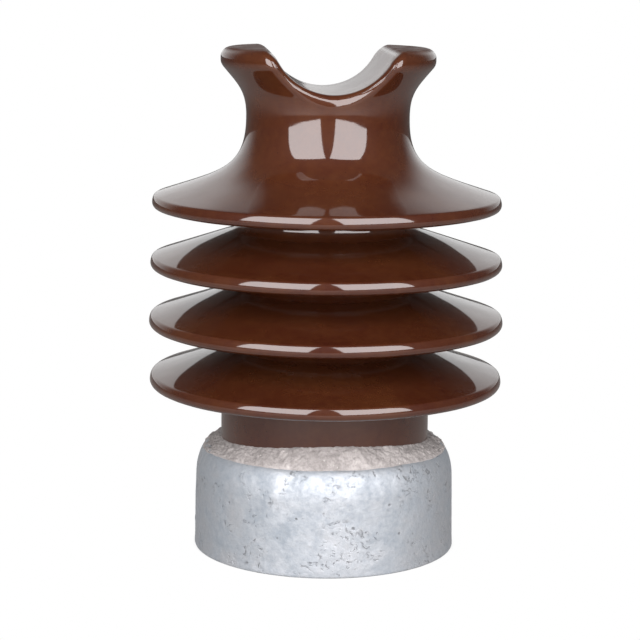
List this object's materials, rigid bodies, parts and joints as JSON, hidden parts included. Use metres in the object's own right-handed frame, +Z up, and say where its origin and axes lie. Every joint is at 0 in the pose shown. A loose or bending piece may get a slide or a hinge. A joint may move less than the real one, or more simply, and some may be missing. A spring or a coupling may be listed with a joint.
{
  "type": "line post insulator",
  "caption": "Brown glazed porcelain tie-top line insulator with a grooved head, waisted neck and stacked rain sheds, cemented into a galvanised iron base with a tapped stud hole.",
  "frame": {"origin": "centre of the base's flat underside, on the insulator's axis", "axes": "+Z up along the insulator's axis, from the seating face to the head; Y along the conductor groove in the head; X across the groove, from ear to ear"},
  "size_m": [0.162, 0.162, 0.229],
  "materials": {
    "brown_glaze": "gloss",
    "fired_sand": "matte",
    "bitumen": "satin",
    "cement": "matte",
    "cork": "matte",
    "galvanised_iron": "satin"
  },
  "bodies": {
    "root": {"porcelain_body": "brown_glaze", "sand_band": "fired_sand", "foot_bitumen_coat": "bitumen", "cement_joint": "cement", "base_bitumen_lining": "bitumen", "cushion_disc": "cork", "metal_base": "galvanised_iron"}
  },
  "joints": []
}
